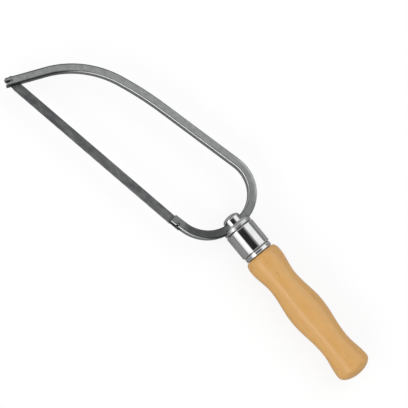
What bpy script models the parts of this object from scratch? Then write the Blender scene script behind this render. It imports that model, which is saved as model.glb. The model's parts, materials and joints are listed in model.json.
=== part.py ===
"""Mini hacksaw: a sprung square-bar bow, a pin-ended blade and a turned handle that clamps on the bow.

The saw lies flat. X runs along the blade from the front tip to the handle, Y points to the back of the
bow and Z is square to the saw plane. All lengths are in metres.
"""

import bmesh
import bpy
from math import cos, pi, radians, sin
from mathutils import Matrix, Vector

# Fits
SEAT_GAP = 0.0003            # between two pieces that bear on each other
PIN_GAP = 0.0002             # round a blade pin, in its slots and in the blade
SLOT_GAP = 0.00025           # each side of the blade in the bow's slots
CUT_PAST = 0.004             # how far a cut runs out past the face that it opens

# Bow: bent square bar, from the front tip over the back and round to the rear jaw
BAR_SIZE = 0.0058
BAR_EDGE_RADIUS = 0.0008
TIP_HEADING = radians(59.1)
FRONT_BEND_RADIUS = 0.0636
FRONT_BEND_SWEEP = radians(46.0)
SHOULDER_RADIUS = 0.2215
SHOULDER_SWEEP = radians(8.9)
UPPER_BEND_RADIUS = 0.0249
UPPER_BEND_SWEEP = radians(104.6)
CLAMP_LENGTH = 0.008         # straight stretch in the clamp
LOWER_BEND_RADIUS = 0.0257
LOWER_BEND_SWEEP = radians(76.0)
JAW_LENGTH = 0.0091
JAW_PAST_PIN = 0.0052        # along the blade, from the rear pin forward to the end of the jaw
JAW_ABOVE_PIN = 0.0009       # middle of the jaw's end over the rear pin
BEND_STEP = radians(4.5)
SHOULDER_STEP = radians(3.0)

# Blade: strip with a cross pin near each end
PIN_SPACING = 0.144
BLADE_OVERHANG = 0.003
BLADE_HEIGHT = 0.0067
BLADE_THICKNESS = 0.00065
BLADE_CORNER = 0.0008
TOOTH_PITCH = 0.001
TOOTH_DEPTH = 0.0006
TOOTH_TIP_SHARE = 0.2        # where the tip stands in its pitch, counted from the front
TOOTH_MARGIN = 0.004         # plain strip between a pin and the first tooth
TOOTH_SET = 0.00012
TEETH_PER_WAVE = 8
PIN_DIAMETER = 0.0012
PIN_LENGTH = 0.0044
PIN_CHAMFER = 0.0002
TIP_TO_PIN = 0.0034          # along the bow, from the front tip to the front pin
BLADE_SLOT_SPARE = 0.0008    # slot length left beyond the blade

# Clamp bolt: domed head with a window for the bar, and a threaded shank
HEAD_DIAMETER = 0.0125
DOME_LENGTH = 0.0030
HEAD_FRONT = 0.0068          # dome tip to the middle of the bar
HEAD_BACK = 0.0059           # middle of the bar to the shoulder of the shank
SHANK_DIAMETER = 0.006
SHANK_LENGTH = 0.030
SHANK_CHAMFER = 0.0008

# Saddle ring between the bar and the ferrule
SADDLE_DIAMETER = 0.0210
SADDLE_THICKNESS = 0.0040
SADDLE_GRIP = 0.0033         # how far it reaches over the sides of the bar
SADDLE_EDGE = 0.0007

# Ferrule: drawn cup with a turned neck and a bead at its mouth
FERRULE_DIAMETER = 0.0215
FERRULE_END_WALL = 0.0025
FERRULE_EDGE = 0.0009
FERRULE_BODY_LENGTH = 0.0170
FERRULE_SHOULDER_LENGTH = 0.0011
FERRULE_NECK_DIAMETER = 0.0189
FERRULE_BEAD_DIAMETER = 0.0202
FERRULE_BEAD_LENGTH = 0.0033
FERRULE_BORE = 0.0172

# Threaded insert in the tenon of the grip
INSERT_FLANGE_DIAMETER = 0.0150
INSERT_FLANGE_THICKNESS = 0.002
INSERT_SLEEVE_DIAMETER = 0.009
INSERT_SLEEVE_LENGTH = 0.014

# Grip: turned wood, measured back from the face that meets the ferrule
GRIP_FACE_DIAMETER = 0.0203
GRIP_FLARE_DIAMETER = 0.0249
GRIP_FLARE_AT = 0.0058
GRIP_FIRST_WAIST_DIAMETER = 0.0206
GRIP_FIRST_WAIST_AT = 0.0236
GRIP_SWELL_DIAMETER = 0.0253
GRIP_SWELL_AT = 0.0482
GRIP_SECOND_WAIST_DIAMETER = 0.0202
GRIP_SECOND_WAIST_AT = 0.0766
GRIP_BUTT_DIAMETER = 0.0244
GRIP_BUTT_AT = 0.0952
GRIP_BUTT_ROUND = 0.0066
SHANK_BORE_SPARE = 0.005     # bore left beyond the end of the shank

# Facets
ROUND_STEPS = 40
SMALL_ROUND_STEPS = 16
CURVE_STEPS = 6
SMOOTH_ANGLE = radians(35)

# Lengths along the handle axis, counted from the middle of the bar
BAR_HALF = BAR_SIZE / 2
SADDLE_FRONT = BAR_HALF + SEAT_GAP - SADDLE_GRIP
SADDLE_BACK = SADDLE_FRONT + SADDLE_THICKNESS
FERRULE_FRONT = SADDLE_BACK + SEAT_GAP
INSERT_FRONT = FERRULE_FRONT + FERRULE_END_WALL + SEAT_GAP
TENON_FRONT = INSERT_FRONT + INSERT_FLANGE_THICKNESS + SEAT_GAP
NECK_AT = FERRULE_FRONT + FERRULE_BODY_LENGTH + FERRULE_SHOULDER_LENGTH
FERRULE_BACK = NECK_AT + FERRULE_BEAD_LENGTH
GRIP_FACE = FERRULE_BACK + SEAT_GAP
HEAD_BORE_RADIUS = HEAD_DIAMETER / 2 + SEAT_GAP
TENON_RADIUS = FERRULE_BORE / 2 - SEAT_GAP


def clear_scene():
    for obj in list(bpy.data.objects):
        bpy.data.objects.remove(obj, do_unlink=True)


def make_material(name, colour, metallic, roughness):
    material = bpy.data.materials.new(name)
    material.use_nodes = True
    shader = material.node_tree.nodes["Principled BSDF"]
    shader.inputs["Base Color"].default_value = (*colour, 1.0)
    shader.inputs["Metallic"].default_value = metallic
    shader.inputs["Roughness"].default_value = roughness
    material.diffuse_color = (*colour, 1.0)
    return material


def add_object(name, bm, parent, material=None):
    """Turn a bmesh into a named object under its parent, shaded smooth between sharp edges."""
    bmesh.ops.remove_doubles(bm, verts=bm.verts, dist=1e-7)
    bmesh.ops.recalc_face_normals(bm, faces=bm.faces)
    mesh = bpy.data.meshes.new(name)
    bm.to_mesh(mesh)
    bm.free()
    mesh.shade_smooth()
    mesh.set_sharp_from_angle(angle=SMOOTH_ANGLE)
    obj = bpy.data.objects.new(name, mesh)
    bpy.context.scene.collection.objects.link(obj)
    obj.parent = parent
    if material:
        mesh.materials.append(material)
    return obj


def add_empty(name, parent=None, matrix=None):
    empty = bpy.data.objects.new(name, None)
    empty.empty_display_size = BAR_SIZE
    bpy.context.scene.collection.objects.link(empty)
    empty.parent = parent
    if matrix:
        empty.matrix_local = matrix
    return empty


def cut(target, cutter):
    """Take the cutter's shape out of the target; the cutter stays as a hidden guide."""
    cutter.hide_render = True
    cutter.display_type = 'WIRE'
    modifier = target.modifiers.new(cutter.name, 'BOOLEAN')
    modifier.operation = 'DIFFERENCE'
    modifier.solver = 'EXACT'
    modifier.object = cutter


def loft(rings):
    """Bridge equal rings of points, in order, and cap the first and the last."""
    bm = bmesh.new()
    loops = [[bm.verts.new(point) for point in ring] for ring in rings]
    for lower, upper in zip(loops, loops[1:]):
        for i, start in enumerate(lower):
            j = (i + 1) % len(lower)
            bm.faces.new((start, lower[j], upper[j], upper[i]))
    bm.faces.new(reversed(loops[0]))
    bm.faces.new(loops[-1])
    return bm


def turned(profile, steps, closed):
    """Spin a (radius, height) profile about Z: a closed one makes a ring, an open one ends on the axis."""
    bm = bmesh.new()
    points = [bm.verts.new((radius, 0, height)) for radius, height in profile]
    pairs = list(zip(points, points[1:]))
    if closed:
        pairs.append((points[-1], points[0]))
    edges = [bm.edges.new(pair) for pair in pairs]
    bmesh.ops.spin(bm, geom=points + edges, cent=(0, 0, 0), axis=(0, 0, 1), angle=2 * pi,
                   steps=steps, use_merge=True)
    bmesh.ops.remove_doubles(bm, verts=bm.verts, dist=1e-7)
    return bm


def quarter(centre_radius, centre_height, width, length, start, steps=CURVE_STEPS):
    """Points of a quarter ellipse that begins at the given angle and turns towards +Z."""
    points = []
    for i in range(steps + 1):
        angle = start + i * pi / 2 / steps
        points.append((centre_radius + width * cos(angle), centre_height + length * sin(angle)))
    return points


def wave(first, last, steps):
    """Points that swell or narrow from one (radius, height) to the next along half a cosine."""
    points = []
    for i in range(steps):
        share = i / steps
        blend = (1 - cos(pi * share)) / 2
        radius = first[0] + (last[0] - first[0]) * blend
        points.append((radius, first[1] + (last[1] - first[1]) * share))
    return points


def direction(heading):
    return Vector((cos(heading), sin(heading), 0))


class BowPath:
    """Centreline of the bar, walked from the front tip, as points with their headings."""

    def __init__(self):
        self.points = [Vector((0, 0, 0))]
        self.headings = [TIP_HEADING]

    def _add(self, point, heading):
        self.points.append(point)
        self.headings.append(heading)

    def straight(self, length):
        heading = self.headings[-1]
        self._add(self.points[-1] + direction(heading) * length, heading)

    def bend(self, radius, sweep, step):
        """Turn towards the handle side, about a centre on the right of the heading."""
        start = self.headings[-1]
        centre = self.points[-1] + Vector((sin(start), -cos(start), 0)) * radius
        count = max(2, round(sweep / step))
        for i in range(1, count + 1):
            heading = start - sweep * i / count
            self._add(centre - Vector((sin(heading), -cos(heading), 0)) * radius, heading)


def walk_bow(limb_length, back_length):
    """The whole bow, and the number of the point where the handle's axis crosses it."""
    path = BowPath()
    path.straight(limb_length)
    path.bend(FRONT_BEND_RADIUS, FRONT_BEND_SWEEP, BEND_STEP)
    path.bend(SHOULDER_RADIUS, SHOULDER_SWEEP, SHOULDER_STEP)
    path.straight(back_length)
    path.bend(UPPER_BEND_RADIUS, UPPER_BEND_SWEEP, BEND_STEP)
    path.straight(CLAMP_LENGTH / 2)
    clamp_index = len(path.points) - 1
    path.straight(CLAMP_LENGTH / 2)
    path.bend(LOWER_BEND_RADIUS, LOWER_BEND_SWEEP, BEND_STEP)
    path.straight(JAW_LENGTH)
    return path, clamp_index


def fit_bow(rear_pin):
    """The bow with its front limb and its back as long as brings the jaw to its place over the rear pin."""
    bends_only, _ = walk_bow(0, 0)
    missing = rear_pin + Vector((-JAW_PAST_PIN, JAW_ABOVE_PIN, 0)) - bends_only.points[-1]
    limb = direction(TIP_HEADING)
    back = direction(TIP_HEADING - FRONT_BEND_SWEEP - SHOULDER_SWEEP)
    turn = limb.cross(back).z
    return walk_bow(missing.cross(back).z / turn, limb.cross(missing).z / turn)


def bar_rings(path, first, last, size):
    """Rounded-square sections of the bar between two points of its path."""
    inner = size / 2 - BAR_EDGE_RADIUS
    corners = ((inner, inner, 0), (-inner, inner, pi / 2), (-inner, -inner, pi), (inner, -inner, 3 * pi / 2))
    section = []
    for across, up, start in corners:
        for i in range(3):
            angle = start + i * pi / 4
            section.append((across + BAR_EDGE_RADIUS * cos(angle), up + BAR_EDGE_RADIUS * sin(angle)))
    rings = []
    for point, heading in zip(path.points[first:last + 1], path.headings[first:last + 1]):
        side = Vector((-sin(heading), cos(heading), 0))
        rings.append([point + side * across + Vector((0, 0, up)) for across, up in section])
    return rings


def box_cutter(name, parent, low, high, place):
    bm = bmesh.new()
    bmesh.ops.create_cube(bm, size=1.0)
    size = Vector(high) - Vector(low)
    middle = (Vector(high) + Vector(low)) / 2
    bmesh.ops.transform(bm, matrix=Matrix.Translation(middle) @ Matrix.Diagonal((*size, 1)), verts=bm.verts)
    cutter = add_object(name, bm, parent)
    cutter.matrix_local = place
    return cutter


def pin_slot_cutter(name, parent, reach, place):
    """Slot right through in Z, as wide as a pin and its gap, from a round end at the origin out along -X."""
    radius = PIN_DIAMETER / 2 + PIN_GAP
    half = BAR_SIZE
    outline = [(-reach, -radius)]
    for i in range(SMALL_ROUND_STEPS // 2 + 1):
        angle = -pi / 2 + i * 2 * pi / SMALL_ROUND_STEPS
        outline.append((radius * cos(angle), radius * sin(angle)))
    outline.append((-reach, radius))
    bm = loft([[(x, y, z) for x, y in outline] for z in (-half, half)])
    cutter = add_object(name, bm, parent)
    cutter.matrix_local = place
    return cutter


def make_bow(root, path, front_pin, rear_pin):
    """The bent bar, slotted for the blade at both ends, with a pin slot at the tip and a notch at the jaw."""
    material = make_material("bow_nickel", (0.56, 0.57, 0.56), 1.0, 0.32)
    bow = add_object("frame_bow", loft(bar_rings(path, 0, len(path.points) - 1, BAR_SIZE)), root, material)
    slot_half = BLADE_THICKNESS / 2 + SLOT_GAP
    tip_frame = Matrix.Rotation(TIP_HEADING, 4, 'Z')
    blade_top_on_limb = (BLADE_HEIGHT / 2 + BAR_HALF * cos(TIP_HEADING)) / sin(TIP_HEADING)
    front_depth = TIP_TO_PIN + blade_top_on_limb + BLADE_SLOT_SPARE
    cut(bow, box_cutter("front_blade_slot", root, (-CUT_PAST, -BAR_SIZE, -slot_half),
                        (front_depth, BAR_SIZE, slot_half), tip_frame))
    cut(bow, pin_slot_cutter("front_pin_slot", root, TIP_TO_PIN + CUT_PAST,
                             Matrix.Translation(front_pin) @ tip_frame))
    rear_frame = Matrix.Translation(rear_pin)
    cut(bow, box_cutter("rear_blade_slot", root, (-JAW_PAST_PIN - CUT_PAST, -2 * BAR_SIZE, -slot_half),
                        (BLADE_OVERHANG + BLADE_SLOT_SPARE, 2 * BAR_SIZE, slot_half), rear_frame))
    cut(bow, pin_slot_cutter("rear_pin_notch", root, BAR_SIZE + CUT_PAST,
                             rear_frame @ Matrix.Rotation(pi / 2, 4, 'Z')))
    return bow


def make_blade(pivot):
    """Toothed strip: a plain back, raked teeth that point to the front and a wavy set along their tips."""
    top = BLADE_HEIGHT / 2
    root_line = -BLADE_HEIGHT / 2 + TOOTH_DEPTH
    tooth_count = int((PIN_SPACING - 2 * TOOTH_MARGIN) / TOOTH_PITCH)
    first_tooth = (PIN_SPACING - tooth_count * TOOTH_PITCH) / 2
    front_end = -BLADE_OVERHANG
    back_end = PIN_SPACING + BLADE_OVERHANG
    end_low = root_line + BLADE_CORNER
    end_high = top - BLADE_CORNER
    columns = [(front_end, end_low, end_high), (front_end + BLADE_CORNER, root_line, top)]
    columns += [(first_tooth + i * TOOTH_PITCH, root_line, top) for i in range(tooth_count + 1)]
    columns += [(back_end - BLADE_CORNER, root_line, top), (back_end, end_low, end_high)]
    half = BLADE_THICKNESS / 2
    rings = [[(x, low, half), (x, high, half), (x, high, -half), (x, low, -half)] for x, low, high in columns]
    bm = loft(rings)
    bm.faces.ensure_lookup_table()
    teeth_from = first_tooth - TOOTH_PITCH / 2
    teeth_to = first_tooth + (tooth_count + 0.5) * TOOTH_PITCH
    roots = [face for face in bm.faces
             if all(vert.co.y < root_line + TOOTH_DEPTH / 2 for vert in face.verts)
             and all(teeth_from < vert.co.x < teeth_to for vert in face.verts)]
    for face in roots:
        front, back = sorted({round(vert.co.x, 7) for vert in face.verts})
        tip_x = front + TOOTH_TIP_SHARE * (back - front)
        number = round((front - first_tooth) / TOOTH_PITCH)
        lean = TOOTH_SET * sin(2 * pi * number / TEETH_PER_WAVE)
        corner = {(vert.co.x > tip_x, vert.co.z > 0): vert for vert in face.verts}
        bm.faces.remove(face)
        near = bm.verts.new((tip_x, root_line - TOOTH_DEPTH, half + lean))
        far = bm.verts.new((tip_x, root_line - TOOTH_DEPTH, lean - half))
        bm.faces.new((corner[False, False], far, near, corner[False, True]))
        bm.faces.new((corner[True, True], near, far, corner[True, False]))
        bm.faces.new((corner[False, True], near, corner[True, True]))
        bm.faces.new((corner[True, False], far, corner[False, False]))
    material = make_material("blade_steel", (0.11, 0.115, 0.12), 0.9, 0.45)
    blade = add_object("saw_blade", bm, pivot, material)
    hole_radius = PIN_DIAMETER / 2 + PIN_GAP
    for name, x in (("front_pin_hole", 0.0), ("rear_pin_hole", PIN_SPACING)):
        hole = turned([(0, BAR_HALF), (hole_radius, BAR_HALF), (hole_radius, -BAR_HALF), (0, -BAR_HALF)],
                      SMALL_ROUND_STEPS, closed=False)
        cutter = add_object(name, hole, pivot)
        cutter.location.x = x
        cut(blade, cutter)
    return blade


def make_pin(name, pivot, x):
    radius = PIN_DIAMETER / 2
    end = PIN_LENGTH / 2
    profile = [(0, end), (radius - PIN_CHAMFER, end), (radius, end - PIN_CHAMFER),
               (radius, PIN_CHAMFER - end), (radius - PIN_CHAMFER, -end), (0, -end)]
    material = make_material(name + "_steel", (0.30, 0.31, 0.31), 1.0, 0.35)
    pin = add_object(name, turned(profile, SMALL_ROUND_STEPS, closed=False), pivot, material)
    pin.location.x = x
    return pin


def make_clamp_bolt(seat, bar_cutter):
    """Domed head that the bar passes through, with a shank for the thread behind it."""
    radius = HEAD_DIAMETER / 2
    shank = SHANK_DIAMETER / 2
    shank_end = HEAD_BACK + SHANK_LENGTH
    dome = quarter(0, DOME_LENGTH - HEAD_FRONT, radius, DOME_LENGTH, -pi / 2)
    profile = dome + [(radius, HEAD_BACK), (shank, HEAD_BACK), (shank, shank_end - SHANK_CHAMFER),
                      (shank - SHANK_CHAMFER, shank_end), (0, shank_end)]
    material = make_material("bolt_chrome", (0.78, 0.78, 0.78), 1.0, 0.08)
    bolt = add_object("clamp_bolt", turned(profile, ROUND_STEPS, closed=False), seat, material)
    cut(bolt, bar_cutter)
    return bolt


def make_saddle_ring(carrier, bar_cutter):
    """Ring that slides on the bolt's head and holds the back of the bar in its groove."""
    radius = SADDLE_DIAMETER / 2
    edge = SADDLE_EDGE
    profile = [(HEAD_BORE_RADIUS, SADDLE_FRONT)]
    profile += quarter(radius - edge, SADDLE_FRONT + edge, edge, edge, -pi / 2, 3)
    profile += quarter(radius - edge, SADDLE_BACK - edge, edge, edge, 0, 3)
    profile.append((HEAD_BORE_RADIUS, SADDLE_BACK))
    material = make_material("saddle_chrome", (0.76, 0.76, 0.76), 1.0, 0.10)
    saddle = add_object("saddle_ring", turned(profile, ROUND_STEPS, closed=True), carrier, material)
    cut(saddle, bar_cutter)
    return saddle


def make_ferrule(carrier):
    """Cup with a bored end wall, a rounded shoulder, a neck and a bead over the end of the grip's tenon."""
    radius = FERRULE_DIAMETER / 2
    edge = FERRULE_EDGE
    neck = FERRULE_NECK_DIAMETER / 2
    bead_height = FERRULE_BEAD_DIAMETER / 2 - neck
    bead_half = FERRULE_BEAD_LENGTH / 2
    shoulder_at = FERRULE_FRONT + FERRULE_BODY_LENGTH
    profile = [(HEAD_BORE_RADIUS, FERRULE_FRONT)]
    profile += quarter(radius - edge, FERRULE_FRONT + edge, edge, edge, -pi / 2, 4)
    profile += quarter(neck, shoulder_at, radius - neck, FERRULE_SHOULDER_LENGTH, 0)
    bead = quarter(neck, NECK_AT + bead_half, bead_height, bead_half, -pi / 2)
    bead += quarter(neck, NECK_AT + bead_half, bead_height, bead_half, 0)[1:]
    profile += bead[1:]
    profile += [(FERRULE_BORE / 2, FERRULE_BACK), (FERRULE_BORE / 2, FERRULE_FRONT + FERRULE_END_WALL),
                (HEAD_BORE_RADIUS, FERRULE_FRONT + FERRULE_END_WALL)]
    material = make_material("ferrule_chrome", (0.80, 0.80, 0.80), 1.0, 0.06)
    return add_object("ferrule", turned(profile, ROUND_STEPS, closed=True), carrier, material)


def make_threaded_insert(carrier):
    """Flanged nut that is trapped between the ferrule's end wall and the tenon."""
    bore = SHANK_DIAMETER / 2 + SEAT_GAP
    flange_back = INSERT_FRONT + INSERT_FLANGE_THICKNESS
    profile = [(bore, INSERT_FRONT), (INSERT_FLANGE_DIAMETER / 2, INSERT_FRONT),
               (INSERT_FLANGE_DIAMETER / 2, flange_back), (INSERT_SLEEVE_DIAMETER / 2, flange_back),
               (INSERT_SLEEVE_DIAMETER / 2, flange_back + INSERT_SLEEVE_LENGTH),
               (bore, flange_back + INSERT_SLEEVE_LENGTH)]
    material = make_material("insert_brass", (0.72, 0.55, 0.28), 1.0, 0.35)
    return add_object("threaded_insert", turned(profile, SMALL_ROUND_STEPS, closed=True), carrier, material)


def make_grip(carrier):
    """Turned grip: a bored tenon, a rounded face, a flare, two waists round a swell, and a rounded butt."""
    sleeve_bore = INSERT_SLEEVE_DIAMETER / 2 + SEAT_GAP
    sleeve_bottom = INSERT_FRONT + INSERT_FLANGE_THICKNESS + INSERT_SLEEVE_LENGTH + SEAT_GAP
    shank_bore = SHANK_DIAMETER / 2 + 2 * SEAT_GAP
    shank_bottom = HEAD_BACK + SHANK_LENGTH + SHANK_BORE_SPARE
    face = GRIP_FACE_DIAMETER / 2
    flare = (GRIP_FLARE_DIAMETER / 2, GRIP_FACE + GRIP_FLARE_AT)
    first_waist = (GRIP_FIRST_WAIST_DIAMETER / 2, GRIP_FACE + GRIP_FIRST_WAIST_AT)
    swell = (GRIP_SWELL_DIAMETER / 2, GRIP_FACE + GRIP_SWELL_AT)
    second_waist = (GRIP_SECOND_WAIST_DIAMETER / 2, GRIP_FACE + GRIP_SECOND_WAIST_AT)
    butt = (GRIP_BUTT_DIAMETER / 2, GRIP_FACE + GRIP_BUTT_AT)
    profile = [(0, shank_bottom), (shank_bore, shank_bottom), (shank_bore, sleeve_bottom),
               (sleeve_bore, sleeve_bottom), (sleeve_bore, TENON_FRONT), (TENON_RADIUS, TENON_FRONT),
               (TENON_RADIUS, GRIP_FACE)]
    profile += quarter(face, flare[1], flare[0] - face, GRIP_FLARE_AT, -pi / 2, 5)[:-1]
    profile += wave(flare, first_waist, 7)
    profile += wave(first_waist, swell, 8)
    profile += wave(swell, second_waist, 8)
    profile += wave(second_waist, butt, 6)
    profile += quarter(0, butt[1], butt[0], GRIP_BUTT_ROUND, 0, 7)
    profile[-1] = (0, profile[-1][1])
    material = make_material("grip_wood", (0.68, 0.38, 0.14), 0.0, 0.38)
    return add_object("handle_grip", turned(profile, ROUND_STEPS, closed=False), carrier, material)


def stand_on_origin(root):
    """Move the saw so that the origin is under the middle of its box, on the surface that it lies on."""
    bpy.context.view_layer.update()
    corners = []
    for obj in bpy.context.scene.objects:
        if obj.type == 'MESH' and not obj.hide_render:
            corners += [obj.matrix_world @ vert.co for vert in obj.data.vertices]
    low = Vector([min(corner[axis] for corner in corners) for axis in range(3)])
    high = Vector([max(corner[axis] for corner in corners) for axis in range(3)])
    middle = (low + high) / 2
    root.location -= Vector((middle.x, middle.y, low.z))
    bpy.context.view_layer.update()


def build():
    clear_scene()
    root = add_empty("saw_root")
    front_pin = direction(TIP_HEADING) * TIP_TO_PIN
    rear_pin = front_pin + Vector((PIN_SPACING, 0, 0))
    path, clamp_index = fit_bow(rear_pin)
    make_bow(root, path, front_pin, rear_pin)

    blade_pivot = add_empty("blade_pivot", root, Matrix.Translation(front_pin))
    make_blade(blade_pivot)
    make_pin("front_blade_pin", blade_pivot, 0.0)
    make_pin("rear_blade_pin", blade_pivot, PIN_SPACING)

    # The handle's axis leaves the bow square to it; its frame has Z along that axis and X along the saw's Z
    heading = path.headings[clamp_index]
    axis = Vector((-sin(heading), cos(heading), 0))
    across = axis.cross(Vector((0, 0, 1)))
    seat_frame = Matrix((Vector((0, 0, 1)), across, axis)).transposed().to_4x4()
    seat_frame.translation = path.points[clamp_index]
    clamp_seat = add_empty("clamp_seat", root, seat_frame)
    saddle_carrier = add_empty("saddle_carrier", root, seat_frame)
    handle_carrier = add_empty("handle_carrier", saddle_carrier)

    # The bar with its seat gap all round, over the stretch that runs through the clamp
    reach = 1 + int(SADDLE_DIAMETER / (BEND_STEP * UPPER_BEND_RADIUS))
    swept = bar_rings(path, clamp_index - reach, clamp_index + reach, BAR_SIZE + 2 * SEAT_GAP)
    bar_cutter = add_object("bar_clearance", loft(swept), root)

    make_clamp_bolt(clamp_seat, bar_cutter)
    make_saddle_ring(saddle_carrier, bar_cutter)
    make_ferrule(handle_carrier)
    make_threaded_insert(handle_carrier)
    make_grip(handle_carrier)
    stand_on_origin(root)


build()
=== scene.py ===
"""Looks of the mini hacksaw: the finish of every piece, the floor, the studio light and the camera.

Sizes are in metres, angles in degrees, colours and light in linear values. A row of stops gives places and
what holds at each of them; the places are values of a grain where nothing else is named. A pair of limits
says where something comes in and where it is full. Cells of a grain are counted per metre. A bump has a
strength and a depth.
"""

import json
from math import cos, pi, radians, sin

import bmesh
import bpy
from mathutils import Matrix, Vector


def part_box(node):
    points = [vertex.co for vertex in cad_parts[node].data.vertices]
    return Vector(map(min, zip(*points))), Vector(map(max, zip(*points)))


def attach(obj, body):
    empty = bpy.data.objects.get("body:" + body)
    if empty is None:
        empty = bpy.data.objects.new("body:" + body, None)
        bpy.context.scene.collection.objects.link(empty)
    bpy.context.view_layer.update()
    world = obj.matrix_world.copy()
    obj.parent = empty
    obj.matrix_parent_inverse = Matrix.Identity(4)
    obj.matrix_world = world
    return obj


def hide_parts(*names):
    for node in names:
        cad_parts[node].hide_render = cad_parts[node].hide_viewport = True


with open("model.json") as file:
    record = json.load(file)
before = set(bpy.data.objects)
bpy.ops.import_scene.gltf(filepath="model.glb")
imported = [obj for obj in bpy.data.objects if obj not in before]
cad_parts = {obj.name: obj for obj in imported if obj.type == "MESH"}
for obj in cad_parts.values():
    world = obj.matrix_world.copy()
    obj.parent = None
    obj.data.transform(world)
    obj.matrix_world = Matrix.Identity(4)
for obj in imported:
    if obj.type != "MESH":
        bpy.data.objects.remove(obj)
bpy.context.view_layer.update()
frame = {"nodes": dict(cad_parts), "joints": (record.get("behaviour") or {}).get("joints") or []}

# Bow bar and the bends that it follows from the front tip to the rear jaw
BAR_EDGE_RADIUS = 0.0008
BAR_FLAT_MARGIN = 0.0003
TIP_HEADING = 59.1
TIP_TO_PIN = 0.0034
FRONT_BEND_RADIUS, FRONT_BEND_SWEEP = 0.0636, 46.0
SHOULDER_RADIUS, SHOULDER_SWEEP = 0.2215, 8.9
UPPER_BEND_RADIUS, UPPER_BEND_SWEEP = 0.0249, 104.6
CLAMP_LENGTH = 0.008
LOWER_BEND_RADIUS, LOWER_BEND_SWEEP = 0.0257, 76.0
JAW_LENGTH = 0.0091
JAW_PAST_PIN = 0.0052
JAW_ABOVE_PIN = 0.0009

# Blade slots of the bow
BLADE_THICKNESS = 0.00065
BLADE_OVERHANG = 0.003
BLADE_SLOT_SPARE = 0.0008
SLOT_GAP = 0.00025
PIN_GAP = 0.0002
PIN_CHAMFER = 0.0002
CUT_PAST = 0.004

# Clamp bolt and saddle ring, from the middle of the bar along the handle
HEAD_DIAMETER = 0.0125
HEAD_FRONT = 0.0068
HEAD_BACK = 0.0059
HEAD_DOME = 0.0030
SHANK_DIAMETER = 0.006
SHANK_LENGTH = 0.030
THREAD_PITCH = 0.001
THREAD_DEPTH = 0.0005
SADDLE_THICKNESS = 0.0040
SADDLE_GRIP = 0.0033
SADDLE_EDGE = 0.0006
SADDLE_CROWN = 0.0010
SEAT_GAP = 0.0003

# Ferrule
FERRULE_END_WALL = 0.0025
FERRULE_EDGE = 0.0009
FERRULE_BODY_LENGTH = 0.0170
FERRULE_SHOULDER_LENGTH = 0.0011
FERRULE_NECK_DIAMETER = 0.0189
FERRULE_BEAD_DIAMETER = 0.0202
FERRULE_BEAD_LENGTH = 0.0033
FERRULE_BORE = 0.0172

# Nut inside the handle
INSERT_FLANGE_DIAMETER, INSERT_FLANGE_THICKNESS = 0.015, 0.002
INSERT_SLEEVE_DIAMETER, INSERT_SLEEVE_LENGTH = 0.009, 0.014

# Wooden grip: diameters, and their places behind its front face
GRIP_FACE_DIAMETER = 0.0203
GRIP_FLARE_DIAMETER, GRIP_FLARE_AT = 0.0249, 0.0058
GRIP_FIRST_WAIST_DIAMETER, GRIP_FIRST_WAIST_AT = 0.0206, 0.0236
GRIP_SWELL_DIAMETER, GRIP_SWELL_AT = 0.0253, 0.0482
GRIP_SECOND_WAIST_DIAMETER, GRIP_SECOND_WAIST_AT = 0.0202, 0.0766
GRIP_BUTT_DIAMETER, GRIP_BUTT_AT = 0.02428, 0.0952
GRIP_BUTT_ROUND = 0.0065
GRIP_SHANK_SPARE = 0.005

# Plating of the bow: flat sides, inner and outer faces, and painted shade for dark lines along its edges
BOW_MOTTLE_CELLS = 330
BOW_PIT_CELLS = 900
BOW_FLAT = ((0.28, (0.178, 0.187, 0.182)), (0.72, (0.255, 0.267, 0.261)))
BOW_FACE = ((0.28, (0.156, 0.164, 0.160)), (0.72, (0.269, 0.279, 0.274)))
BOW_SHADE_LINE_COLOURS = ((0.3, (0.035, 0.037, 0.036)), (0.7, (0.06, 0.063, 0.062)))
BOW_ROUGHNESS = ((0.25, 0.26), (0.75, 0.38))
BOW_BUMP = (0.08, 0.0002)

# Limits of flatness, which is 0 on the bow's inner and outer faces and 1 on its flat sides
FACE_TO_EDGE = (0.15, 0.35)
EDGE_TO_FLAT = (0.965, 0.992)

# Edges of the bow with painted highlights and painted dark lines, and faces with painted shade, by the way
# they face, with stops from 0, facing against the bright way, to 1, facing it
BRIGHT_WAY = (0.5, 0.866, 0.0)
EDGE_COLOURS = (
    (0.20, (0.50, 0.51, 0.505)), (0.335, (0.42, 0.43, 0.425)), (0.40, (0.12, 0.125, 0.123)),
    (0.45, (0.02, 0.021, 0.021)), (0.61, (0.05, 0.053, 0.052)), (0.685, (0.15, 0.156, 0.153)),
    (0.77, (0.54, 0.55, 0.545)), (0.845, (0.92, 0.93, 0.925)))
FACE_SHADES = ((0.335, 1.0), (0.44, 0.66), (0.50, 0.42), (0.65, 1.0))

# Painted shade on the plating round the lower rear bend, next to the clamp: brightness that is left, by the
# distance from its middle
BEND_SHADE_MIDDLE = (0.0146, -0.0200, 0.0127)
BEND_SHADE_LEVELS = ((0.0, 0.31), (0.012, 0.31), (0.017, 0.70), (0.030, 0.66), (0.042, 0.76), (0.065, 1.0))

# Attribute of the bow that holds how far outwards across the bar a point lies
OUTWARDS = "outwards"

# Painted shade as dark lines along the bow's outer and inner edges at the front: limits outwards and along
# the saw, and strength
OUTER_SHADE_LINE = ((0.0017, 0.0024), (-0.050, -0.112), 1.0)
INNER_SHADE_LINE = ((-0.0015, -0.0021), (-0.122, -0.130), 0.85)

# Painted highlight on the outer side of the upper rear bend: limits of the distance from its middle and
# outwards
BEND_HIGHLIGHT_MIDDLE = (0.0125, 0.0290, 0.0127)
BEND_HIGHLIGHT_REACH = (0.018, 0.012)
BEND_HIGHLIGHT_OUTWARDS = (0.0005, 0.0021)
BEND_HIGHLIGHT_GAIN = 1.75

# Painted highlight on the edges of the bow, made brighter at the front bend: how much brighter the edges are
# along the saw
EDGE_HIGHLIGHT_BOOST = ((-0.130, 1.0), (-0.122, 2.2), (-0.110, 1.9), (-0.099, 1.0))
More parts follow.
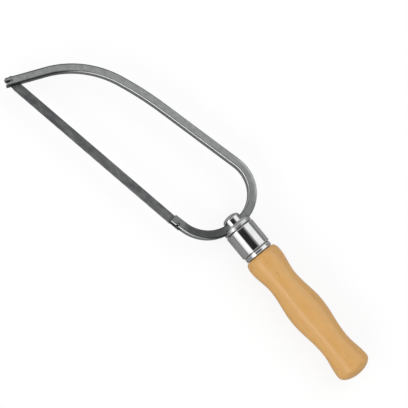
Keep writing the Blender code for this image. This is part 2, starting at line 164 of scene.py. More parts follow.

# Steel of the blade, with cells along, across and through it; it grows brighter towards the rear along the
# saw
BLADE_MOTTLE_CELLS = (156, 260, 260)
BLADE_MOTTLE_CONTRAST = 0.6
BLADE_MOTTLE = ((0.28, (0.067, 0.070, 0.074)), (0.74, (0.143, 0.145, 0.144)))
BLADE_LINE_CELLS = (44, 2200, 2200)
BLADE_LINE_SHADES = ((0.3, 0.86), (0.7, 1.10))
BLADE_REAR_BRIGHTENING = ((-0.110, 1.0), (-0.065, 1.16))
BLADE_ROUGHNESS = ((0.25, 0.58), (0.75, 0.44))
BLADE_BUMP = (0.05, 0.0001)

# Wood and its lacquer, with cells across the handle and along it
WOOD_BAND_CELLS = (170, 170, 8.5)
WOOD_BANDS = ((0.30, (0.560, 0.312, 0.101)), (0.70, (0.604, 0.343, 0.117)))
WOOD_FIBRE_CELLS = (1700, 1700, 51)
WOOD_FIBRES = ((0.25, (0.93, 0.91, 0.88)), (0.75, (1.03, 1.03, 1.03)))
WOOD_FLECK_CELLS = (900, 900, 108)
WOOD_FLECKS = ((0.24, (0.82, 0.76, 0.68)), (0.32, (1.0, 1.0, 1.0)))
WOOD_ROUGHNESS = ((0.2, 0.38), (0.8, 0.48))
WOOD_BUMP = (0.06, 0.0002)
WOOD_SPECULAR = 0.2
LACQUER_WEIGHT = 0.32
LACQUER_ROUGHNESS = 0.10

# Chrome: polishing marks, with cells across the handle and along it, and clouds that tint and roughen it
CHROME_MARK_CELLS = (260, 260, 7800)
CHROME_CLOUD_CELLS = 210
CHROME_CLOUDS = ((0.3, (0.90, 0.91, 0.92)), (0.7, (1.0, 1.0, 1.0)))
CHROME_ROUGHENING = ((0.35, 1.0), (0.75, 2.2))
CHROME_BUMP = (0.03, 0.0001)

# Roughness and brightness of the chrome on each piece
BOLT_CHROME = (0.06, 0.46)
SADDLE_CHROME = (0.20, 0.39)
FERRULE_CHROME = (0.045, 0.46)

# Plain metals, and the tarnish that roughens them
PIN_STEEL = ((0.3, (0.20, 0.21, 0.21)), (0.7, (0.34, 0.35, 0.35)))
PIN_ROUGHNESS = 0.32
INSERT_BRASS = ((0.3, (0.55, 0.38, 0.16)), (0.7, (0.74, 0.56, 0.28)))
INSERT_ROUGHNESS = 0.34
TARNISH_CELLS = 700
TARNISH_ROUGHENING = ((0.3, 1.3), (0.7, 0.8))

# Fineness of the meshes
ROUND_STEPS = 96
SMALL_STEPS = 32
CURVE_STEPS = 14
BEND_STEP = 1.5
EDGE_STEPS = 5
THREAD_STEPS = 8
SHARP_ANGLE = 32.0
MERGE_DISTANCE = 1e-7

# Camera
CAMERA_AZIMUTH = -1.254
CAMERA_ELEVATION = 70.207
CAMERA_ROLL = 41.79
CAMERA_DISTANCE = 1.458
CAMERA_LENS = 193.44
CAMERA_SENSOR = 36.0
CAMERA_RIGHT = 0.00086
CAMERA_UP = -0.00088

# Floor: its colour as it lights the saw and as it is seen, and the share of plain white where it is seen
FLOOR_SIZE = 8.0
FLOOR_DROP = 0.0002
FLOOR_COLOUR = 0.48
FLOOR_COLOUR_SEEN = 0.92
FLOOR_WHITE_SEEN = 0.85
FLOOR_WHITE_MIRRORED = 0.08

# Studio light by its angle round the handle's axis, from the camera's side
SOFTBOX, SOFTBOX_RIM, LOW_SOFTBOX, STRIP = 1.90, 0.9, 1.70, 4.6
HORIZON, GAP_RIM, DARK = 0.42, 0.15, 0.045
STUDIO_BANDS = (
    (-180, DARK), (-67, DARK), (-65, LOW_SOFTBOX), (-50, LOW_SOFTBOX), (-44, STRIP), (-34, STRIP),
    (-28, LOW_SOFTBOX), (-24, LOW_SOFTBOX), (-20, DARK), (20, DARK), (24, GAP_RIM), (38, SOFTBOX_RIM),
    (42, SOFTBOX), (84, SOFTBOX), (88, HORIZON), (180, HORIZON))

# Studio light lengthwise, from 0, square to the handle, to 1, along it: panels come in, and all of it fades
PANEL_LIMITS = (0.16, 0.30)
PANEL = 1.2
FADING_LIMITS = (0.42, 0.65)
FADED = 0.36


# Places taken from the frame

def middle(node):
    low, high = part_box(node)
    return (low + high) / 2


def height(node):
    """Size of a CAD node across the saw plane, which is its diameter if it is round about the handle."""
    low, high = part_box(node)
    return high.z - low.z


def joint(name):
    return next(entry for entry in frame["joints"] if entry["name"] == name)


BAR_SIZE = height("frame_bow")
BAR_HALF = BAR_SIZE / 2
PIN_LENGTH = height("front_blade_pin")
PIN_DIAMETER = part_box("front_blade_pin")[1].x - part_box("front_blade_pin")[0].x
BLADE_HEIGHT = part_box("saw_blade")[1].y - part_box("saw_blade")[0].y
SADDLE_DIAMETER = height("saddle_ring")
FERRULE_DIAMETER = height("ferrule")
HEAD_BORE_RADIUS = HEAD_DIAMETER / 2 + SEAT_GAP
FRONT_PIN = middle("front_blade_pin")
REAR_PIN = middle("rear_blade_pin")
HANDLE_AXIS = Vector(joint("handle_turn")["axis"]).normalized()
HANDLE_FRAME = Matrix.Translation(joint("handle_turn")["pos_m"]) @ Matrix(
    (Vector((0, 0, 1)), HANDLE_AXIS.cross(Vector((0, 0, 1))), HANDLE_AXIS)).transposed().to_4x4()
SADDLE_FRONT = BAR_HALF + SEAT_GAP - SADDLE_GRIP
SADDLE_BACK = SADDLE_FRONT + SADDLE_THICKNESS
FERRULE_FRONT = SADDLE_BACK + SEAT_GAP
INSERT_FRONT = FERRULE_FRONT + FERRULE_END_WALL + SEAT_GAP
TENON_FRONT = INSERT_FRONT + INSERT_FLANGE_THICKNESS + SEAT_GAP
TENON_RADIUS = FERRULE_BORE / 2 - SEAT_GAP
NECK_AT = FERRULE_FRONT + FERRULE_BODY_LENGTH + FERRULE_SHOULDER_LENGTH
FERRULE_BACK = NECK_AT + FERRULE_BEAD_LENGTH
GRIP_FACE = FERRULE_BACK + SEAT_GAP


# Meshes

def to_mesh(bm, name):
    """Turn a bmesh into a mesh, and free it."""
    mesh = bpy.data.meshes.new(name)
    bm.to_mesh(mesh)
    bm.free()
    return mesh


def add_object(name, data):
    obj = bpy.data.objects.new(name, data)
    bpy.context.scene.collection.objects.link(obj)
    return obj


def add_piece(name, bm, place, material, body, node):
    """Turn a bmesh into the piece that stands for a CAD node, shaded smooth between sharp edges."""
    bmesh.ops.transform(bm, matrix=place, verts=bm.verts)
    bmesh.ops.recalc_face_normals(bm, faces=bm.faces)
    for face in bm.faces:
        face.smooth = True
    for edge in bm.edges:
        edge.smooth = len(edge.link_faces) == 2 and edge.calc_face_angle() < radians(SHARP_ANGLE)
    obj = add_object(name, to_mesh(bm, name))
    obj.data.materials.append(material)
    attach(obj, body)
    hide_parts(node)
    return obj


def cut(bm, place, cutters):
    """Take closed shapes, which are given in the world's frame, out of a bmesh."""
    def as_object(shape, matrix):
        bmesh.ops.recalc_face_normals(shape, faces=shape.faces)
        obj = add_object("blank", to_mesh(shape, "blank"))
        obj.matrix_world = matrix
        return obj

    blank = as_object(bm, place)
    tools = [as_object(cutter, Matrix.Identity(4)) for cutter in cutters]
    for tool in tools:
        modifier = blank.modifiers.new("cut", 'BOOLEAN')
        modifier.solver = 'EXACT'
        modifier.operation = 'DIFFERENCE'
        modifier.object = tool
    bpy.context.view_layer.update()
    result = bmesh.new()
    result.from_mesh(blank.evaluated_get(bpy.context.evaluated_depsgraph_get()).data)
    for obj in [blank] + tools:
        mesh = obj.data
        bpy.data.objects.remove(obj)
        bpy.data.meshes.remove(mesh)
    return result


def loft(rings):
    """Bridge equal rings of points, in order, and cap the first and the last."""
    bm = bmesh.new()
    lanes = [[bm.verts.new(point) for point in ring] for ring in rings]
    count = len(rings[0])
    for first, second in zip(lanes, lanes[1:]):
        for i in range(count):
            bm.faces.new((first[i], first[(i + 1) % count], second[(i + 1) % count], second[i]))
    bm.faces.new(lanes[0][::-1])
    bm.faces.new(lanes[-1])
    return bm


def turned(profile, steps, closed):
    """Spin a (radius, height) profile about Z: a closed one makes a ring, an open one ends on the axis."""
    bm = bmesh.new()
    points = [bm.verts.new((radius, 0, along)) for radius, along in profile]
    pairs = list(zip(points, points[1:]))
    if closed:
        pairs.append((points[-1], points[0]))
    edges = [bm.edges.new(pair) for pair in pairs]
    bmesh.ops.spin(bm, geom=points + edges, cent=(0, 0, 0), axis=(0, 0, 1), angle=2 * pi,
                   steps=steps, use_merge=True)
    bmesh.ops.remove_doubles(bm, verts=bm.verts, dist=MERGE_DISTANCE)
    return bm


# Start angles of a quarter ellipse that widens towards +Z and of one that narrows
WIDENING, NARROWING = -pi / 2, 0.0


def quarter(centre_radius, centre_height, width, length, start, steps=CURVE_STEPS):
    """Points of a quarter ellipse that begins at the given angle and turns towards +Z."""
    angles = [start + i * pi / 2 / steps for i in range(steps + 1)]
    return [(centre_radius + width * cos(angle), centre_height + length * sin(angle)) for angle in angles]


def wave(first, last, steps=CURVE_STEPS):
    """Points that swell or narrow from one (radius, height) to the next along half a cosine."""
    points = []
    for i in range(steps):
        share = i / steps
        blend = (1 - cos(pi * share)) / 2
        points.append((first[0] + (last[0] - first[0]) * blend, first[1] + (last[1] - first[1]) * share))
    return points


# Bow

def direction(heading):
    return Vector((cos(radians(heading)), sin(radians(heading)), 0))


def left_of(heading):
    return direction(heading + 90)


def bow_path(limb_length, back_length):
    """Points of the bar's centreline with their headings, from the front tip to the end of the jaw."""
    path = [(FRONT_PIN - direction(TIP_HEADING) * TIP_TO_PIN, TIP_HEADING)]

    def straight(length):
        point, heading = path[-1]
        path.append((point + direction(heading) * length, heading))

    def bend(radius, sweep):
        point, start = path[-1]
        centre = point - left_of(start) * radius
        count = round(sweep / BEND_STEP)
        for i in range(1, count + 1):
            heading = start - sweep * i / count
            path.append((centre + left_of(heading) * radius, heading))

    straight(limb_length)
    bend(FRONT_BEND_RADIUS, FRONT_BEND_SWEEP)
    bend(SHOULDER_RADIUS, SHOULDER_SWEEP)
    straight(back_length)
    bend(UPPER_BEND_RADIUS, UPPER_BEND_SWEEP)
    straight(CLAMP_LENGTH)
    bend(LOWER_BEND_RADIUS, LOWER_BEND_SWEEP)
    straight(JAW_LENGTH)
    return path


def fitted_bow_path():
    """The path whose two straights bring the end of the jaw to its place over the rear pin."""
    end = bow_path(0, 0)[-1][0]
    missing = REAR_PIN + Vector((-JAW_PAST_PIN, JAW_ABOVE_PIN, 0)) - end
    limb = direction(TIP_HEADING)
    back = direction(TIP_HEADING - FRONT_BEND_SWEEP - SHOULDER_SWEEP)
    turn = limb.cross(back).z
    return bow_path(missing.cross(back).z / turn, limb.cross(missing).z / turn)


def bar(path, size):
    """Rounded square bar along a path."""
    inner = size / 2 - BAR_EDGE_RADIUS
    section = []
    for quadrant in range(4):
        turn = Matrix.Rotation(quadrant * pi / 2, 2)
        corner = [(size / 2, inner - BAR_FLAT_MARGIN)]
        corner += quarter(inner, inner, BAR_EDGE_RADIUS, BAR_EDGE_RADIUS, start=0.0, steps=EDGE_STEPS)
        corner.append((inner - BAR_FLAT_MARGIN, size / 2))
        section += [turn @ Vector(point) for point in corner]
    return loft([[point + left_of(heading) * across + Vector((0, 0, up)) for across, up in section]
                 for point, heading in path])


def block(low, high, place):
    bm = bmesh.new()
    bmesh.ops.create_cube(bm, size=1.0)
    low, high = Vector(low), Vector(high)
    shape = Matrix.Translation((low + high) / 2) @ Matrix.Diagonal((*(high - low), 1))
    bmesh.ops.transform(bm, matrix=place @ shape, verts=bm.verts)
    return bm


def pin_slot(reach, place):
    """Slot right through in Z, as wide as a pin and its gap, from a round end at the origin out along -X."""
    radius = PIN_DIAMETER / 2 + PIN_GAP
    angles = [radians(180 * i / SMALL_STEPS - 90) for i in range(SMALL_STEPS + 1)]
    outline = [(-reach, -radius)]
    outline += [(radius * cos(angle), radius * sin(angle)) for angle in angles]
    outline.append((-reach, radius))
    return loft([[place @ Vector((x, y, z)) for x, y in outline] for z in (-BAR_SIZE, BAR_SIZE)])


def mark_outwards(mesh, path):
    """Store with every point of the bow how far outwards from the bar's centreline it lies."""
    outwards = mesh.attributes.new(OUTWARDS, 'FLOAT', 'POINT')
    for vertex in mesh.vertices:
        point, heading = min(path, key=lambda entry: (vertex.co.xy - entry[0].xy).length)
        outwards.data[vertex.index].value = (vertex.co - point).dot(left_of(heading))


def make_bow(path, material):
    slot_half = BLADE_THICKNESS / 2 + SLOT_GAP
    lean = radians(TIP_HEADING)
    tip_frame = Matrix.Rotation(lean, 4, 'Z')
    blade_on_limb = (BLADE_HEIGHT / 2 + BAR_HALF * cos(lean)) / sin(lean)
    front = Matrix.Translation(FRONT_PIN) @ tip_frame
    rear = Matrix.Translation(REAR_PIN)
    cutters = [
        block((-TIP_TO_PIN - CUT_PAST, -BAR_SIZE, -slot_half),
              (blade_on_limb + BLADE_SLOT_SPARE, BAR_SIZE, slot_half), front),
        pin_slot(TIP_TO_PIN + CUT_PAST, front),
        block((-JAW_PAST_PIN - CUT_PAST, -2 * BAR_SIZE, -slot_half),
              (BLADE_OVERHANG + BLADE_SLOT_SPARE, 2 * BAR_SIZE, slot_half), rear),
        pin_slot(BAR_SIZE + CUT_PAST, rear @ Matrix.Rotation(pi / 2, 4, 'Z')),
    ]
    shape = cut(bar(path, BAR_SIZE), Matrix.Identity(4), cutters)
    bow = add_piece("bow", shape, Matrix.Identity(4), material, "bow_frame", "frame_bow")
    mark_outwards(bow.data, path)
    return bow


def clamp_clearance(path):
    """The bar with its seat gap all round, over the stretch that runs through the clamp."""
    clamp = HANDLE_FRAME.translation
    near = [entry for entry in path if (entry[0] - clamp).length < SADDLE_DIAMETER]
    return bar(near, BAR_SIZE + 2 * SEAT_GAP)


# Turned pieces

def make_pin(name, node, material):
    radius, end = PIN_DIAMETER / 2, PIN_LENGTH / 2
    profile = [(0, -end), (radius - PIN_CHAMFER, -end), (radius, PIN_CHAMFER - end),
               (radius, end - PIN_CHAMFER), (radius - PIN_CHAMFER, end), (0, end)]
    place = Matrix.Translation(middle(node))
    return add_piece(name, turned(profile, SMALL_STEPS, closed=False), place, material, "blade", node)


def threaded_shank(start, end):
    """Rings of a screw thread whose crest winds round the shank, thinning out towards its end."""
    crest = SHANK_DIAMETER / 2
    count = round((end - start) / THREAD_PITCH * THREAD_STEPS)
    rings = []
    for i in range(count + 1):
        along = start + (end - start) * i / count
        ring = []
        for j in range(SMALL_STEPS):
            turn = j / SMALL_STEPS
            phase = ((along - start) / THREAD_PITCH - turn) % 1.0
            fade = min(1.0, (count - i) / THREAD_STEPS)
            depth = THREAD_DEPTH * (1 - fade * (1 - abs(2 * phase - 1)))
            ring.append(((crest - depth) * cos(2 * pi * turn), (crest - depth) * sin(2 * pi * turn), along))
        rings.append(ring)
    return loft(rings)


def make_bolt(path, material):
    radius = HEAD_DIAMETER / 2
    profile = quarter(0, HEAD_DOME - HEAD_FRONT, radius, HEAD_DOME, WIDENING)
    profile += [(radius, HEAD_BACK), (0, HEAD_BACK)]
    profile[0] = (0, profile[0][1])
    head = cut(turned(profile, ROUND_STEPS, closed=False), HANDLE_FRAME, [clamp_clearance(path)])
    shank = to_mesh(threaded_shank(HEAD_BACK, HEAD_BACK + SHANK_LENGTH), "shank")
    head.from_mesh(shank)
    bpy.data.meshes.remove(shank)
    return add_piece("bolt", head, HANDLE_FRAME, material, "bow_frame", "clamp_bolt")


def make_saddle(path, material):
    radius, edge = SADDLE_DIAMETER / 2, SADDLE_EDGE
    crown_foot = radius - SADDLE_CROWN
    slope_start, slope_end = SADDLE_FRONT + edge, SADDLE_BACK - edge
    profile = [(HEAD_BORE_RADIUS, SADDLE_FRONT)]
    profile += quarter(crown_foot - edge, slope_start, edge, edge, WIDENING, EDGE_STEPS)[:-1]
    profile += quarter(crown_foot, slope_end, SADDLE_CROWN, slope_end - slope_start, WIDENING)
    profile += quarter(radius - edge, slope_end, edge, edge, NARROWING, EDGE_STEPS)[1:]
    profile.append((HEAD_BORE_RADIUS, SADDLE_BACK))
    shape = cut(turned(profile, ROUND_STEPS, closed=True), HANDLE_FRAME, [clamp_clearance(path)])
    return add_piece("saddle", shape, HANDLE_FRAME, material, "saddle", "saddle_ring")


def make_ferrule(material):
    radius, edge, neck = FERRULE_DIAMETER / 2, FERRULE_EDGE, FERRULE_NECK_DIAMETER / 2
    bead_height, bead_half = FERRULE_BEAD_DIAMETER / 2 - neck, FERRULE_BEAD_LENGTH / 2
    inside = FERRULE_FRONT + FERRULE_END_WALL
    body_end = NECK_AT - FERRULE_SHOULDER_LENGTH
    profile = [(HEAD_BORE_RADIUS, FERRULE_FRONT)]
    profile += quarter(radius - edge, FERRULE_FRONT + edge, edge, edge, WIDENING, EDGE_STEPS)
    profile += quarter(neck, body_end, radius - neck, FERRULE_SHOULDER_LENGTH, NARROWING)
    profile += quarter(neck, NECK_AT + bead_half, bead_height, bead_half, WIDENING)[1:]
    profile += quarter(neck, NECK_AT + bead_half, bead_height, bead_half, NARROWING)[1:]
    profile += [(FERRULE_BORE / 2, FERRULE_BACK), (FERRULE_BORE / 2, inside), (HEAD_BORE_RADIUS, inside)]
    return add_piece("collar", turned(profile, ROUND_STEPS, closed=True), HANDLE_FRAME, material,
                     "handle", "ferrule")


def make_insert(material):
    bore = SHANK_DIAMETER / 2 + SEAT_GAP
    flange, sleeve = INSERT_FLANGE_DIAMETER / 2, INSERT_SLEEVE_DIAMETER / 2
    step = INSERT_FRONT + INSERT_FLANGE_THICKNESS
    end = step + INSERT_SLEEVE_LENGTH
    profile = [(bore, INSERT_FRONT), (flange, INSERT_FRONT), (flange, step),
               (sleeve, step), (sleeve, end), (bore, end)]
    return add_piece("nut", turned(profile, ROUND_STEPS, closed=True), HANDLE_FRAME, material,
                     "handle", "threaded_insert")


def make_grip(material):
    sleeve_bore = INSERT_SLEEVE_DIAMETER / 2 + SEAT_GAP
    sleeve_bottom = INSERT_FRONT + INSERT_FLANGE_THICKNESS + INSERT_SLEEVE_LENGTH + SEAT_GAP
    shank_bore = SHANK_DIAMETER / 2 + 2 * SEAT_GAP
    shank_bottom = HEAD_BACK + SHANK_LENGTH + GRIP_SHANK_SPARE
    face = GRIP_FACE_DIAMETER / 2
    flare = (GRIP_FLARE_DIAMETER / 2, GRIP_FACE + GRIP_FLARE_AT)
    first_waist = (GRIP_FIRST_WAIST_DIAMETER / 2, GRIP_FACE + GRIP_FIRST_WAIST_AT)
    swell = (GRIP_SWELL_DIAMETER / 2, GRIP_FACE + GRIP_SWELL_AT)
    second_waist = (GRIP_SECOND_WAIST_DIAMETER / 2, GRIP_FACE + GRIP_SECOND_WAIST_AT)
    butt = (GRIP_BUTT_DIAMETER / 2, GRIP_FACE + GRIP_BUTT_AT)
    profile = [(0, shank_bottom), (shank_bore, shank_bottom), (shank_bore, sleeve_bottom),
               (sleeve_bore, sleeve_bottom), (sleeve_bore, TENON_FRONT), (TENON_RADIUS, TENON_FRONT),
               (TENON_RADIUS, GRIP_FACE)]
    profile += quarter(face, flare[1], flare[0] - face, GRIP_FLARE_AT, WIDENING)[:-1]
    turns = [flare, first_waist, swell, second_waist, butt]
    for first, last in zip(turns, turns[1:]):
        profile += wave(first, last)
    profile += quarter(0, butt[1], butt[0], GRIP_BUTT_ROUND, NARROWING)
    profile[-1] = (0, profile[-1][1])
    return add_piece("grip", turned(profile, ROUND_STEPS, closed=False), HANDLE_FRAME, material,
                     "handle", "handle_grip")


# Materials

def thrice(value):
    return (value, value, value)


def greys(stops):
    """Turn stops of levels into stops of colours."""
    return [(place, thrice(level)) for place, level in stops]


def times(stops, factor):
    """Multiply the level at each stop."""
    return [(place, level * factor) for place, level in stops]


class Nodes:
    """A node tree, with short ways to add nodes and join them."""

    def __init__(self, tree):
        self.tree = tree

    def node(self, kind, **settings):
        node = self.tree.nodes.new("ShaderNode" + kind)
        for key, value in settings.items():
            setattr(node, key, value)
        return node

    def join(self, source, target):
        self.tree.links.new(source, target)

    def math(self, operation, *sources):
        """Number that an operation makes of sockets and plain numbers."""
        node = self.node("Math", operation=operation)
        for source, socket in zip(sources, node.inputs):
            if isinstance(source, float):
                socket.default_value = source
            else:
                self.join(source, socket)
        return node.outputs["Value"]

    def measure(self, operation, source, vector):
        """Number that a vector operation makes of a socket and a fixed vector."""
        node = self.node("VectorMath", operation=operation)
        self.join(source, node.inputs[0])
        node.inputs[1].default_value = vector
        return node.outputs["Value"]

    def part(self, source, axis):
        node = self.node("SeparateXYZ")
        self.join(source, node.inputs["Vector"])
        return node.outputs[axis]

    def span(self, source, low, high, to_low=0.0, to_high=1.0, curve='LINEAR'):
        """Map one range of a number onto another, and hold it past both ends."""
        node = self.node("MapRange", interpolation_type=curve)
        ends = {"From Min": low, "From Max": high, "To Min": to_low, "To Max": to_high}
        for socket, value in ends.items():
            node.inputs[socket].default_value = value
        self.join(source, node.inputs["Value"])
        return node.outputs["Result"]

    def colours(self, source, stops):
        """Colours between stops that lie from 0 to 1."""
        node = self.node("ValToRGB")
        elements = node.color_ramp.elements
        while len(elements) < len(stops):
            elements.new(1.0)
        for element, (place, colour) in zip(elements, stops):
            element.position = place
            element.color = (*colour, 1)
        self.join(source, node.inputs["Fac"])
        return node.outputs["Color"]

    def levels(self, source, stops):
        """Levels between stops that are given in the source's own units."""
        first, last = stops[0][0], stops[-1][0]
        shares = [((place - first) / (last - first), level) for place, level in stops]
        return self.colours(self.span(source, first, last), greys(shares))

    def multiply(self, first, second):
        node = self.node("Mix", data_type='RGBA', blend_type='MULTIPLY')
        node.inputs["Factor"].default_value = 1.0
        self.join(first, node.inputs["A"])
        self.join(second, node.inputs["B"])
        return node.outputs["Result"]

    def mix(self, first, second, share):
        node = self.node("Mix", data_type='RGBA')
        self.join(share, node.inputs["Factor"])
        self.join(first, node.inputs["A"])
        self.join(second, node.inputs["B"])
        return node.outputs["Result"]


class Finish(Nodes):
    """A material's node tree, with its shader and the places and normals of the surface."""

    def __init__(self, name, **sockets):
        self.material = bpy.data.materials.new(name)
        self.material.use_nodes = True
        super().__init__(self.material.node_tree)
        self.shader = self.tree.nodes["Principled BSDF"]
        for key, value in sockets.items():
            self.shader.inputs[key.replace("_", " ")].default_value = value
        places = self.node("TexCoord").outputs
        self.place = places["Object"]
        self.normal = places["Normal"]

    def grain(self, cells, detail, contrast=0.5, about=Matrix.Identity(4)):
        """Noise in the given frame, with so many cells a metre along each of its axes."""
        mapping = self.node("Mapping", vector_type='TEXTURE')
        mapping.inputs["Location"].default_value = about.translation
        mapping.inputs["Rotation"].default_value = about.to_euler()
        mapping.inputs["Scale"].default_value = [1 / count for count in cells]
        noise = self.node("TexNoise")
        noise.inputs["Scale"].default_value = 1.0
        noise.inputs["Detail"].default_value = detail
        noise.inputs["Roughness"].default_value = contrast
        self.join(self.place, mapping.inputs["Vector"])
        self.join(mapping.outputs["Vector"], noise.inputs["Vector"])
        return noise.outputs["Fac"]

    def paint(self, colour, grain, roughness):
        """Give the shader its colour, and a roughness that runs between two stops of a grain."""
        (low, at_low), (high, at_high) = roughness
        self.join(colour, self.shader.inputs["Base Color"])
        self.join(self.span(grain, low, high, at_low, at_high), self.shader.inputs["Roughness"])

    def bump(self, source, strength, distance):
        node = self.node("Bump")
        node.inputs["Strength"].default_value = strength
        node.inputs["Distance"].default_value = distance
        self.join(source, node.inputs["Height"])
        self.join(node.outputs["Normal"], self.shader.inputs["Normal"])


def wood_finish():
    """Clear lacquer over even, light hardwood, with fine grain along the handle."""
    finish = Finish("grip_wood", Coat_Weight=LACQUER_WEIGHT, Coat_Roughness=LACQUER_ROUGHNESS,
                    Specular_IOR_Level=WOOD_SPECULAR)
    bands = finish.grain(WOOD_BAND_CELLS, detail=2.0, about=HANDLE_FRAME)
    fibres = finish.grain(WOOD_FIBRE_CELLS, detail=3.0, about=HANDLE_FRAME)
    flecks = finish.grain(WOOD_FLECK_CELLS, detail=1.0, about=HANDLE_FRAME)
    colour = finish.multiply(finish.colours(bands, WOOD_BANDS), finish.colours(fibres, WOOD_FIBRES))
    colour = finish.multiply(colour, finish.colours(flecks, WOOD_FLECKS))
    finish.paint(colour, fibres, WOOD_ROUGHNESS)
    finish.bump(fibres, *WOOD_BUMP)
    return finish.material


def chrome_finish(name, roughness, level):
    """Mirror plating with faint polishing marks round the handle's axis and a few cloudy patches."""
    finish = Finish(name, Metallic=1.0)
    marks = finish.grain(CHROME_MARK_CELLS, detail=2.0, about=HANDLE_FRAME)
    clouds = finish.grain(thrice(CHROME_CLOUD_CELLS), detail=2.0)
    tints = [(place, [level * share for share in shares]) for place, shares in CHROME_CLOUDS]
    finish.paint(finish.colours(clouds, tints), clouds, times(CHROME_ROUGHENING, roughness))
    finish.bump(marks, *CHROME_BUMP)
    return finish.material


def bow_finish():
    """Satin plating on drawn bar, with painted highlights and painted shade on its edges and faces by the
    way they face, painted shade round one bend, painted highlights at others and painted dark lines along
    its edges towards the front.
    """
    finish = Finish("bow_plating", Metallic=1.0)
    mottle = finish.grain(thrice(BOW_MOTTLE_CELLS), detail=4.0)
    outwards = finish.node("Attribute", attribute_name=OUTWARDS).outputs["Fac"]
    along = finish.part(finish.place, "X")
    flatness = finish.math('ABSOLUTE', finish.part(finish.normal, "Z"))
    facing = finish.span(finish.measure('DOT_PRODUCT', finish.normal, BRIGHT_WAY), -1.0, 1.0)
    # Distance from the middle of the painted shade at the lower rear bend
    from_shade_middle = finish.measure('DISTANCE', finish.place, BEND_SHADE_MIDDLE)
    # Painted highlight on the outer side of the upper rear bend
    from_highlight_middle = finish.measure('DISTANCE', finish.place, BEND_HIGHLIGHT_MIDDLE)
    highlight_on_bend = finish.math('MULTIPLY', finish.span(outwards, *BEND_HIGHLIGHT_OUTWARDS),
                          finish.span(from_highlight_middle, *BEND_HIGHLIGHT_REACH))

    # Painted shade: a dark line along an edge towards the front
    def with_shade_line(colour, outwards_limits, along_limits, strength):
        share = finish.math('MULTIPLY', finish.span(outwards, *outwards_limits, 0.0, strength),
                            finish.span(along, *along_limits))
        return finish.mix(colour, finish.colours(mottle, BOW_SHADE_LINE_COLOURS), share)

    # Flats, with painted shade round the lower rear bend
    flat = finish.multiply(finish.colours(mottle, BOW_FLAT), finish.levels(from_shade_middle, BEND_SHADE_LEVELS))
    # Painted highlight on the flats at the outer side of the upper rear bend
    flat = finish.multiply(flat, finish.span(highlight_on_bend, 0.0, 1.0, 1.0, BEND_HIGHLIGHT_GAIN))
    # Painted highlights and painted dark lines on the edges, and painted shade on the faces, by the way they
    # face
    # The edges' painted highlights are boosted at the front bend
    edge = finish.multiply(finish.colours(facing, EDGE_COLOURS), finish.levels(along, EDGE_HIGHLIGHT_BOOST))
    face = finish.multiply(finish.colours(mottle, BOW_FACE), finish.colours(facing, greys(FACE_SHADES)))
    colour = finish.mix(edge, flat, finish.span(flatness, *EDGE_TO_FLAT))
    # Painted dark lines along the outer and then the inner edge at the front
    colour = with_shade_line(colour, *OUTER_SHADE_LINE)
    colour = finish.mix(face, colour, finish.span(flatness, *FACE_TO_EDGE))
    colour = with_shade_line(colour, *INNER_SHADE_LINE)
    finish.paint(colour, mottle, BOW_ROUGHNESS)
    finish.bump(finish.grain(thrice(BOW_PIT_CELLS), detail=3.0), *BOW_BUMP)
    return finish.material


def blade_finish():
    """Dark hardened strip steel, mottled, with drawing lines along it and a rear half that is brighter."""
    finish = Finish("blade_steel", Metallic=1.0)
    mottle = finish.grain(BLADE_MOTTLE_CELLS, detail=4.0, contrast=BLADE_MOTTLE_CONTRAST)
    lines = finish.grain(BLADE_LINE_CELLS, detail=2.0)
    shades = finish.colours(lines, greys(BLADE_LINE_SHADES))
    colour = finish.multiply(finish.colours(mottle, BLADE_MOTTLE), shades)
    colour = finish.multiply(colour, finish.levels(finish.part(finish.place, "X"), BLADE_REAR_BRIGHTENING))
    finish.paint(colour, mottle, BLADE_ROUGHNESS)
    finish.bump(lines, *BLADE_BUMP)
    return finish.material


def plain_metal_finish(name, colours, roughness):
    """Turned or drawn metal with a little tarnish."""
    finish = Finish(name, Metallic=1.0)
    tarnish = finish.grain(thrice(TARNISH_CELLS), detail=3.0)
    finish.paint(finish.colours(tarnish, colours), tarnish, times(TARNISH_ROUGHENING, roughness))
    return finish.material


# Stage

def camera_axes():
    """Direction to the camera, and the right and the up of its picture."""
    azimuth, elevation, roll = map(radians, (CAMERA_AZIMUTH, CAMERA_ELEVATION, CAMERA_ROLL))
    towards = Vector((sin(azimuth) * cos(elevation), -cos(azimuth) * cos(elevation), sin(elevation)))
    level = Vector((cos(azimuth), sin(azimuth), 0))
    upright = towards.cross(level)
    return towards, level * cos(roll) + upright * sin(roll), upright * cos(roll) - level * sin(roll)


def add_camera():
    towards, right, up = camera_axes()
    data = bpy.data.cameras.new("camera")
    data.sensor_width = CAMERA_SENSOR
    data.lens = CAMERA_LENS
    camera = add_object("camera", data)
    place = Matrix((right, up, towards)).transposed().to_4x4()
    place.translation = towards * CAMERA_DISTANCE + right * CAMERA_RIGHT + up * CAMERA_UP
    camera.matrix_world = place
    bpy.context.scene.camera = camera


def floor_paint():
    """Pale paint with a share of plain white where it is seen; the rest of it keeps the saw's shadow."""
    material = bpy.data.materials.new("floor")
    material.use_nodes = True
    nodes = Nodes(material.node_tree)
    nodes.tree.nodes.clear()
    rays = nodes.node("LightPath").outputs
    paint = nodes.node("BsdfDiffuse")
    colour = nodes.span(rays["Is Camera Ray"], 0.0, 1.0, FLOOR_COLOUR, FLOOR_COLOUR_SEEN)
    nodes.join(colour, paint.inputs["Color"])
    white = 0.0
    for kind, amount in (("Is Camera Ray", FLOOR_WHITE_SEEN), ("Is Glossy Ray", FLOOR_WHITE_MIRRORED),
                         ("Is Transmission Ray", FLOOR_WHITE_SEEN)):
        white = nodes.math('MULTIPLY_ADD', rays[kind], amount, white)
    surface = nodes.node("MixShader")
    nodes.join(white, surface.inputs["Fac"])
    nodes.join(paint.outputs["BSDF"], surface.inputs[1])
    nodes.join(nodes.node("Emission").outputs["Emission"], surface.inputs[2])
    nodes.join(surface.outputs["Shader"], nodes.node("OutputMaterial").inputs["Surface"])
    return material


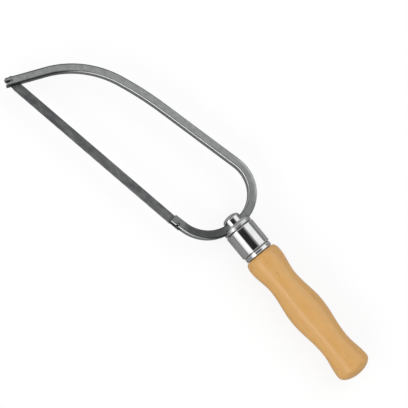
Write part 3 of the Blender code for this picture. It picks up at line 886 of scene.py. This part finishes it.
def add_floor():
    bm = bmesh.new()
    bmesh.ops.create_grid(bm, x_segments=1, y_segments=1, size=FLOOR_SIZE / 2)
    floor = add_object("floor", to_mesh(bm, "floor"))
    floor.location.z = -FLOOR_DROP
    floor.data.materials.append(floor_paint())


def add_light():
    """A studio, fixed in the room, of long softboxes along the handle on both sides of a dark gap."""
    towards = camera_axes()[0]
    sideways = towards.cross(HANDLE_AXIS).normalized()
    upwards = HANDLE_AXIS.cross(sideways)
    world = bpy.data.worlds.new("studio")
    world.use_nodes = True
    nodes = Nodes(world.node_tree)
    ray = nodes.node("TexCoord").outputs["Generated"]
    angle = nodes.math('ARCTAN2', nodes.measure('DOT_PRODUCT', ray, sideways),
                       nodes.measure('DOT_PRODUCT', ray, upwards))
    lengthwise = nodes.math('ABSOLUTE', nodes.measure('DOT_PRODUCT', ray, HANDLE_AXIS))
    bands = nodes.levels(angle, [(radians(band), level) for band, level in STUDIO_BANDS])
    panels = nodes.span(lengthwise, *PANEL_LIMITS, 0.0, PANEL, curve='SMOOTHSTEP')
    fading = nodes.span(lengthwise, *FADING_LIMITS, 1.0, FADED, curve='SMOOTHSTEP')
    light = nodes.math('MULTIPLY', nodes.math('MAXIMUM', bands, panels), fading)
    background = nodes.tree.nodes["Background"]
    background.inputs["Color"].default_value = (1, 1, 1, 1)
    nodes.join(light, background.inputs["Strength"])
    bpy.context.scene.world = world


# Scene

centreline = fitted_bow_path()
pin_steel = plain_metal_finish("pin_steel", PIN_STEEL, PIN_ROUGHNESS)
insert_brass = plain_metal_finish("insert_brass", INSERT_BRASS, INSERT_ROUGHNESS)
make_bow(centreline, bow_finish())
make_pin("front_pin", "front_blade_pin", pin_steel)
make_pin("rear_pin", "rear_blade_pin", pin_steel)
make_bolt(centreline, chrome_finish("bolt_chrome", *BOLT_CHROME))
make_saddle(centreline, chrome_finish("saddle_chrome", *SADDLE_CHROME))
make_ferrule(chrome_finish("ferrule_chrome", *FERRULE_CHROME))
make_insert(insert_brass)
make_grip(wood_finish())
blade = frame["nodes"]["saw_blade"]
blade.data.materials.clear()
blade.data.materials.append(blade_finish())

add_camera()
add_floor()
add_light()
bpy.context.scene.view_settings.view_transform = 'Standard'
